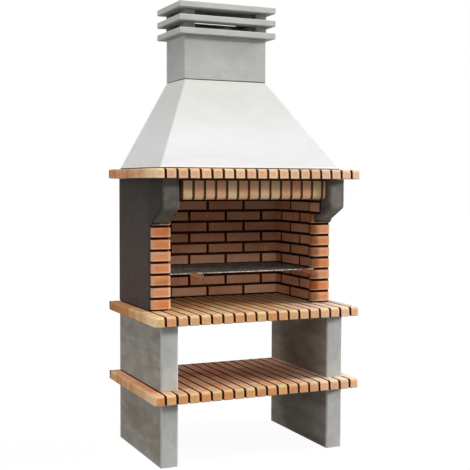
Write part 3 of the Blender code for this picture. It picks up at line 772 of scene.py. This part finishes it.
class Shaper(NodeMaker):
    """One tree's nodes. Its inputs are pairs of a name and a kind of socket, between the
    geometry and the material, which every tree has."""

    def __init__(self, name, *inputs):
        tree = bpy.data.node_groups.new(name, "GeometryNodeTree")
        super().__init__(tree)
        inputs = ("Geometry", "Geometry"), *inputs, ("Material", "Material")
        for name, kind in inputs:
            tree.interface.new_socket(name, in_out="INPUT", socket_type="NodeSocket" + kind)
        tree.interface.new_socket("Geometry", in_out="OUTPUT", socket_type="NodeSocketGeometry")
        given = self.node("NodeGroupInput").socket.node.outputs
        self.want = {name: Signal(self, socket) for (name, kind), socket in zip(inputs, given)}

    def named(self, name, kind="FLOAT_VECTOR"):
        return self.node("GeometryNodeInputNamedAttribute", {"data_type": kind}, {"Name": name})

    def close(self, geometry):
        """Ends the tree with smooth faces in the material."""
        geometry = self.node("GeometryNodeSetShadeSmooth", (), {"Geometry": geometry})
        geometry = self.node("GeometryNodeSetMaterial", (), {
            "Geometry": geometry, "Material": self.want["Material"]})
        self.node("NodeGroupOutput", (), {"Geometry": geometry})
        return self.tree


def shape_by(made, tree, **values):
    """Shapes a piece with a tree, whose named inputs are filled by their identifiers."""
    modifier = made.modifiers.new(tree.name, "NODES")
    modifier.node_group = tree
    for item in tree.interface.items_tree:
        key = item.name.replace(" ", "_").lower()
        if item.in_out == "INPUT" and key in values:
            modifier[item.identifier] = values[key]


def brick_form(steps):
    """A cube with rounded edges, which notes each corner's octant and place on the round."""
    flat = 0.7
    shapes = bmesh.new()
    bmesh.ops.create_cube(shapes, size=2)
    bmesh.ops.bevel(shapes, geom=shapes.edges[:], offset=1 - flat, segments=steps,
                    profile=0.5, affect="EDGES")
    made = new_object(f"brick_form_{steps}", shapes)
    spots = [corner.co.copy() for corner in made.data.vertices]
    octants = [Vector([math.copysign(1, share) for share in spot]) for spot in spots]
    write_note(made.data, "octant", octants)
    write_note(made.data, "rounding",
               [(s - o * flat) / (1 - flat) for s, o in zip(spots, octants)])
    return made


def bricklaying():
    """Puts a rounded brick on each point, at the size and roundings that the point carries."""
    made = Shaper("bricklaying", ("Rounded Brick", "Object"), ("Plain Brick", "Object"),
                  *[(name, "Float") for name in ("Edge", "Upper Nose", "Lower Nose",
                                                 "Inner Corner", "Outer Corner", "Outer Top",
                                                 "Unevenness", "Tilt")], ("Seed", "Int"))
    want, named = made.want, made.named

    def store(geometry, name, value):
        return made.node("GeometryNodeStoreNamedAttribute", {"data_type": "FLOAT_VECTOR"},
                         {"Geometry": geometry, "Name": name, "Value": value})

    def chance(shift):
        return made.node("FunctionNodeRandomValue", {"data_type": "FLOAT_VECTOR"},
                         {"Min": (0, 0, 0), "Max": (1, 1, 1), "Seed": want["Seed"] + shift})

    fine = named("fine", "FLOAT")
    points = store(want["Geometry"], "centre", made.node("GeometryNodeInputPosition"))
    points = store(points, "tone", chance(0))
    points = store(points, "lean", chance(17))
    bricks = []
    for form, chosen in (("Rounded Brick", fine), ("Plain Brick", 1 - fine)):
        shape = made.node("GeometryNodeObjectInfo", (), {"Object": want[form]}, "Geometry")
        bricks.append(made.node("GeometryNodeInstanceOnPoints", (), {
            "Points": points, "Selection": chosen, "Instance": shape}))
    joined = made.node("GeometryNodeJoinGeometry", (), {"Geometry": bricks[0]})
    made.tree.links.new(bricks[1].socket, joined.socket.node.inputs[0])
    laid = made.node("GeometryNodeRealizeInstances", (), {"Geometry": joined})

    octant, half, centre = named("octant"), named("half"), named("centre")
    ox, oy, oz = made.parts(octant)
    outward = ox * named("side", "FLOAT")
    front, top, under = (1 - oy) * 0.5, (1 + oz) * 0.5, (1 - oz) * 0.5
    outer, inner = greatest(outward, 0.0), greatest(outward * -1.0, 0.0)
    nose = fine * greatest(front * top * want["Upper Nose"], front * under * want["Lower Nose"])
    corner = front * greatest(inner * want["Inner Corner"], outer * want["Outer Corner"])
    flank = top * outer * want["Outer Top"]
    edge = want["Edge"]
    radius = made.vector(greatest(edge, corner, flank),
                         least(greatest(edge, nose, corner), made.parts(half)[1] * 0.98),
                         greatest(edge, nose, flank))
    place = octant * (half - radius) + named("rounding") * radius
    laid = store(laid, "place", place)
    wobble = made.node("ShaderNodeTexNoise", (), {
        "Vector": centre + place, "Scale": 38.0, "Detail": 2.0}, "Color")
    wobble, swung, inset = [
        made.node("ShaderNodeVectorMath", {"operation": operation}, dict(enumerate(sides)))
        for operation, *sides in (
            ("SUBTRACT", wobble, (0.5, 0.5, 0.5)),
            ("CROSS_PRODUCT", (named("lean") - 0.5) * want["Tilt"], place),
            ("SIGN", octant))]
    moved = centre + place + swung + wobble * want["Unevenness"] * 2.0
    moved = moved - inset * want["Unevenness"] * 1.2
    return made.close(made.node("GeometryNodeSetPosition", (), {
        "Geometry": laid, "Position": moved}))


def wiring():
    """Turns lines into round wires that swing up and down where they cross others."""
    made = Shaper("wiring", ("Radius", "Float"), ("Weave Pitch", "Float"), ("Step", "Float"),
                  ("Sides", "Int"))
    want = made.want
    lines = made.node("GeometryNodeMeshToCurve", (), {"Mesh": want["Geometry"]})
    lines = made.node("GeometryNodeResampleCurve", (), {"Curve": lines, "Length": want["Step"]})
    lines.socket.node.mode = "LENGTH"
    turn = made.named("run", "FLOAT") / want["Weave Pitch"] * math.pi
    lift = made.named("swing", "FLOAT") * turn.reckon("COSINE", turn)
    lines = made.node("GeometryNodeSetPosition", (), {"Geometry": lines,
                                                      "Offset": made.vector(0.0, 0.0, lift)})
    ring = made.node("GeometryNodeCurvePrimitiveCircle", (), {
        "Resolution": want["Sides"], "Radius": want["Radius"]})
    wires = made.node("GeometryNodeCurveToMesh", (), {
        "Curve": lines, "Profile Curve": ring, "Fill Caps": True})
    return made.close(made.node("GeometryNodeRealizeInstances", (), {"Geometry": wires}))


# Brickwork


def lay_bricks(name, spans, look, slot, nodes, **sizes):
    """A piece of brickwork. Each span is X, depth and height limits, a side, which is -1 on
    the left and 1 on the right, and 1 for the brick form with the finer edges."""
    shapes = bmesh.new()
    halves = []
    for limits in spans:
        low, high = at(*map(min, limits[:3])), at(*map(max, limits[:3]))
        shapes.verts.new((low + high) / 2)
        halves.append((high - low) / 2)
    made = new_object(name, shapes)
    write_note(made.data, "half", halves)
    write_note(made.data, "side", [span[3] for span in spans], "FLOAT")
    write_note(made.data, "fine", [span[4] for span in spans], "FLOAT")
    values = dict(rounded_brick=rounded_form, plain_brick=plain_form, edge=0.002, upper_nose=0.0,
                  lower_nose=0.0, inner_corner=0.0, outer_corner=0.0, outer_top=0.0,
                  unevenness=0.0004, tilt=0.004, material=look)
    shape_by(made, bricklaying_tree, **values | sizes)
    even_normals(made)
    tie(made, "masonry", slot, *nodes)


def slab_spans(level, opened):
    """The bricks of a slab, end to end in columns; every other column starts with half a brick."""
    spans = []
    for column in range(slab_columns):
        start = column * column_pitch - half_slab
        side = {0: -1, slab_columns - 1: 1}.get(column, 0)
        stops = [0.0]
        reach = brick_length * (0.45 if column % 2 else 0.95)
        while reach < brick_end - 0.02:
            stops.append(reach)
            reach += brick_length + butt_joint
        stops.append(brick_end)
        for near, far in zip(stops, stops[1:]):
            for low, high in cleared(near, far, opened and column in opened_columns):
                last = 0 if high >= brick_end else butt_joint
                spans.append(((start, start + brick), (low, high - last), (level, level + brick),
                              side, 0.0 if low else 1.0))
    return spans


def cleared(near, far, crossed):
    """What is left of a run of brick where the smoke opening crosses its column."""
    if not crossed:
        return [(near, far)]
    kept = [(near, min(far, opening[0])), (max(near, opening[1]), far)]
    return [(low, high) for low, high in kept if high - low > 0.01]


def course_runs(course, start, end, joint):
    """The bricks of one course between two ends; every other course steps by half a brick."""
    pitch = brick_length + head_joint
    middle = joint + (pitch / 2 if course % 2 else 0)
    middle -= math.floor((middle - start) / pitch) * pitch
    runs, left = [], start
    while middle < end - head_joint:
        if middle - head_joint / 2 > left:
            runs.append((left, middle - head_joint / 2))
        left = middle + head_joint / 2
        middle += pitch
    return runs + [(left, end)]


def heights(course):
    """Where a course of the firebox begins and ends."""
    low = firebox_floor + first_bed + course * course_pitch
    return (low, low + brick)


# Wires


def draw_wires(name, lines, nodes, **sizes):
    """A piece of the grate. Each line is its points, whether it closes, its swing and where
    its run starts."""
    shapes = bmesh.new()
    swings, runs = [], []
    for points, closed, swing, start in lines:
        corners = [shapes.verts.new(point) for point in points]
        for first, last in zip(corners, corners[1:] + (corners[:1] if closed else [])):
            shapes.edges.new((first, last))
        swings += [swing] * len(points)
        runs += [start + (point - points[0]).length for point in points]
    made = new_object(name, shapes)
    write_note(made.data, "swing", swings, "FLOAT")
    write_note(made.data, "run", runs, "FLOAT")
    shape_by(made, wiring_tree, weave_pitch=grate_pitch, material=bright_wire, **sizes)
    settle(made)
    tie(made, "grate", "bright_wire", *nodes)


def places(start, end, pitch):
    """Places at one pitch, centred between two ends."""
    count = int((end - start) / pitch)
    first = (start + end - count * pitch) / 2
    return [first + step * pitch for step in range(count + 1)]


# Finishes of this barbecue. The axes are 0 for X, 1 for depth and 2 for height.

lining_clay = ("DDB090", "CF9B78", "BD8666")
# Painted shade darkens the slabs further back, and painted light brightens them towards the right.
slab_brick = brick_finish(
    "slab_brick", ("F1CFA0", "ECB285", "E19662"), along=1, joints=[0], flame=0.7, wear=0.5,
    worn_width=0.008, heart=0.45, slab=True,
    painted_light=[(1, 0.04, 0.24, 1.0, 0.80), (0, 0.25, 0.50, 1.0, 1.10)])
# Painted light and shade: the side and back linings are brighter low down and darker higher up,
# under the mantel.
lining_brick = brick_finish("lining_brick", lining_clay, along=1, joints=[1, 2], flame=0.4,
                            sooty=0.2, painted_light=[(2, 0.85, 1.25, 1.38, 1.12)])
back_brick = brick_finish("back_lining_brick", lining_clay, along=0, joints=[0, 2], flame=0.4,
                          sooty=0.2, painted_light=[(2, 0.80, 1.30, 1.42, 0.80)])
# Painted shade darkens the right pilaster's inner rounded edge.
pilaster_brick = brick_finish(
    "pilaster_brick", ("EAB086", "E2945E", "DA7C42"), along=0, joints=[2], flame=0.6, wear=0.6,
    worn_width=0.011, heart=0.5, pilaster=True,
    painted_light=[(0, 0.30, 0.39, 1.0, 0.55), (0, 0.424, 0.456, 1.0, 1.82)])
# Painted light and shade: the lintel is darker low down and brighter higher up.
lintel_brick = brick_finish(
    "lintel_brick", ("DFC094", "E6B088", "DF9A70"), along=2, joints=[0], flame=0.85, wear=0.4,
    painted_light=[(2, 1.305, 1.36, 0.84, 1.06)])
dark_mortar = mortar_finish()
leg_concrete = concrete_finish("leg_concrete", "9B9790", "B8B8B4", "CED1CF", mottle=0.9,
                               streaks=0.10, flank_shade=0.22)
flue_concrete = concrete_finish("flue_concrete", "ACABA7", "BEBEBB", "D1D2D0", mottle=0.7,
                                streaks=0.14)
cap_concrete = concrete_finish("cap_concrete", "B7B7B1", "C7C7C2", "D6D6D2", mottle=0.8,
                               gap_shade=True)
charcoal = wall_finish()
white_render = render_finish()
bright_wire = wire_finish()
handle_wood = wood_finish()

# Slabs

rounded_form, plain_form = brick_form(4), brick_form(2)
bricklaying_tree, wiring_tree = bricklaying(), wiring()
for name, seed in (("shelf", 1), ("hearth", 78), ("mantel", 98)):
    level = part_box(name + "_bricks")[0].z
    lay_bricks(name + "_brickwork", slab_spans(level, name == "mantel"), slab_brick,
               "slab_brick", [name + "_bricks"], upper_nose=0.016, outer_corner=0.010,
               outer_top=0.010, seed=seed)

# Firebox. The pilasters' bricks reach from one X to another and have two roundings.

for side, name, near, far, inner_round, outer_round in (
        (-1, "left", 0.400, 0.5062, 0.019, 0.014), (1, "right", 0.403, 0.5072, 0.040, 0.006)):
    lining = [((side * lining_face, side * panel_face), run, heights(course), 0, 0)
              for course in range(courses)
              for run in course_runs(course, lining_front, lining_back, lining_joint)]
    lay_bricks(name + "_lining_brickwork", lining, lining_brick, "lining_brick",
               [name + "_lining_bricks"], seed=21 + side)
    stack = [((side * near, side * far), pilaster_depths, heights(course), side, 1)
             for course in range(pilaster_courses)]
    lay_bricks(name + "_pilaster", stack, pilaster_brick, "pilaster_brick",
               [f"{name}_pilaster_brick_{course + 1}" for course in range(pilaster_courses)],
               edge=0.0025, inner_corner=inner_round, outer_corner=outer_round, seed=31 + side)
    slips = [((side * slip_face, side * slip_back), slip_depths, heights(course), 0, 0)
             for course in range(pilaster_courses, courses)]
    lay_bricks(name + "_corbel_slips", slips, lining_brick, "lining_brick",
               [name + "_corbel_lining_bricks"], seed=41 + side)
end = lining_face - 0.0003
rows = [(run, (back_face, lining_back), heights(course), 0, 0) for course in range(courses)
        for run in course_runs(course, -end, end, back_joint)]
lay_bricks("back_lining_brickwork", rows, back_brick, "lining_brick",
           ["back_lining_lower_bricks", "back_lining_upper_bricks"], seed=51)
low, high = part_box("lintel_bricks")
lintel = []
for column in range(slab_columns):
    left = column * column_pitch - half_slab
    right = min(left + brick, half_lintel)
    if left > -half_lintel and right - left > 0.010:
        lintel.append(((left, right), lintel_depths, (low.z, high.z), 0, 1))
lay_bricks("lintel_brickwork", lintel, lintel_brick, "lintel_brick", ["lintel_bricks"],
           lower_nose=0.018, seed=61)

# The mortar and the beds stay as the CAD's, in their own finish.

for node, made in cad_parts.items():
    if node.endswith("_mortar") or node.endswith("_bed"):
        dress(made, dark_mortar)

# Cast parts

for seed, node in enumerate(("lower_left_leg", "lower_right_leg", "upper_left_leg",
                             "upper_right_leg"), 1):
    cast_leg(node, seed)
for seed, side in enumerate(("left", "right"), 6):
    cast(side + "_wall_casting", side + "_side_wall", "wall_concrete", charcoal, seed,
         width=0.015, steps=5, share=corbel_easing)
cast("back_wall_casting", "back_wall", "wall_concrete", charcoal, seed=9, width=0.003)
cast("chimney_casting", "chimney", "flue_concrete", flue_concrete, seed=12)
for seed, name in enumerate(("lower", "middle", "top"), 14):
    cast(f"cap_{name}_casting", f"cap_{name}_slab", "cap_concrete", cap_concrete, seed)
hood = hood_shell("hood_shell", *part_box("hood"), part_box("chimney"))
dress(hood, white_render)
tie(hood, "masonry", "white_render", "hood")

# Grate

low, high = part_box("grate_grid")
level = high.z - frame_wire
front, back = low.y - front_of_slabs + frame_wire, high.y - front_of_slabs - frame_wire
rim = ring_of(at(-half_grate, front, level), at(half_grate, back, level), level, grate_corner,
              steps=6)
draw_wires("grate_frame", [(rim, True, 0.0, 0.0)], ["grate_grid"], radius=frame_wire, step=0.004,
           sides=12)
margin = grate_corner + mesh_wire
xs = places(margin - half_grate, half_grate - margin, grate_pitch)
ys = places(front + margin, back - margin, grate_pitch)
rods = [([at(x, front, level), at(x, back, level)], False, mesh_wire * (-1) ** count,
         front - ys[0]) for count, x in enumerate(xs)]
rods += [([at(-half_grate, y, level), at(half_grate, y, level)], False,
          -mesh_wire * (-1) ** count, -half_grate - xs[0]) for count, y in enumerate(ys)]
draw_wires("grate_mesh", rods, [], radius=mesh_wire, step=0.006, sides=6)
wraps = [([at(x, front + 0.0036 * math.cos(turn), level + 0.0026 * math.sin(turn))
           for turn in (math.radians(30 * step) for step in range(12))], True, 0.0, 0.0)
         for x in xs]
draw_wires("grate_wraps", wraps, [], radius=wrap_wire, step=0.0025, sides=6)
for name in ("left", "right"):
    handle = turned_handle(f"{name}_handle", f"grate_{name}_handle")
    dress(handle, handle_wood)
    tie(handle, "grate", "handle_wood", f"grate_{name}_handle")
    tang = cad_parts[f"grate_{name}_tang"]
    dress(tang, bright_wire)

for form in (rounded_form, plain_form):
    bpy.data.objects.remove(form)

# Studio. The lamps are far off; azimuth 0 is in front of the barbecue and 90 to its right.

for name, azimuth, elevation, strength, angle in (
        ("low_key", 66, 15.1, 1.88, 6), ("high_key", 80, 22, 2.10, 14),
        ("front", -10, 30, 0.88, 28), ("left", -90, 10, 0.75, 28),
        ("behind", -150, 52, 0.78, 28), ("top", -30, 70, 0.55, 10)):
    lamp = bpy.data.lights.new(name, "SUN")
    lamp.energy, lamp.angle = strength, math.radians(angle)
    made = add_object(name, lamp)
    turn, lift = math.radians(azimuth), math.radians(elevation)
    source = Vector((math.sin(turn) * math.cos(lift), -math.cos(turn) * math.cos(lift),
                     math.sin(lift)))
    made.rotation_euler = (-source).to_track_quat("-Z", "Y").to_euler()
    made.location = source * 6

world = bpy.data.worlds.new("studio")
bpy.context.scene.world = world
world.use_nodes = True
air = NodeMaker(world.node_tree)
glow = air.node("ShaderNodeBackground", (), {
    "Color": (1, 1, 1, 1), "Strength": air.looked_at().between(0.0, 1.0, 0.02, 1.0)})
air.node("ShaderNodeOutputWorld", (), {"Surface": glow})

shapes = bmesh.new()
bmesh.ops.create_grid(shapes, x_segments=1, y_segments=1, size=30)
floor = new_object("studio_floor", shapes)
ground = Finish("studio_floor")
matt = ground.node("ShaderNodeBsdfDiffuse", (), {"Color": (0.45, 0.45, 0.45, 1)})
white = ground.node("ShaderNodeEmission", (), {"Color": (1, 1, 1, 1), "Strength": 1.18})
both = ground.node("ShaderNodeMixShader", (), {0: ground.looked_at() * 0.80, 1: matt, 2: white})
ground.node("ShaderNodeOutputMaterial", (), {"Surface": both})
dress(floor, ground.material)

lens = bpy.data.cameras.new("camera")
camera = add_object("camera", lens)
bpy.context.scene.camera = camera
lens.lens, lens.sensor_width = 74.47, 36
lens.clip_end = 200
yaw, pitch, roll = math.radians(24.25), math.radians(3.09), math.radians(-0.20)
forward = Vector((math.sin(yaw) * math.cos(pitch), math.cos(yaw) * math.cos(pitch),
                  -math.sin(pitch)))
right = Vector((math.cos(yaw), -math.sin(yaw), 0))
down = forward.cross(right)
right, down = (right * math.cos(roll) + down * math.sin(roll),
               down * math.cos(roll) - right * math.sin(roll))
turn = Matrix((right, -down, -forward)).transposed().to_4x4()
camera.matrix_world = Matrix.Translation((-2.10296, -4.72064, 1.39772)) @ turn

bpy.context.scene.view_settings.view_transform = "Standard"

bpy.context.view_layer.update()
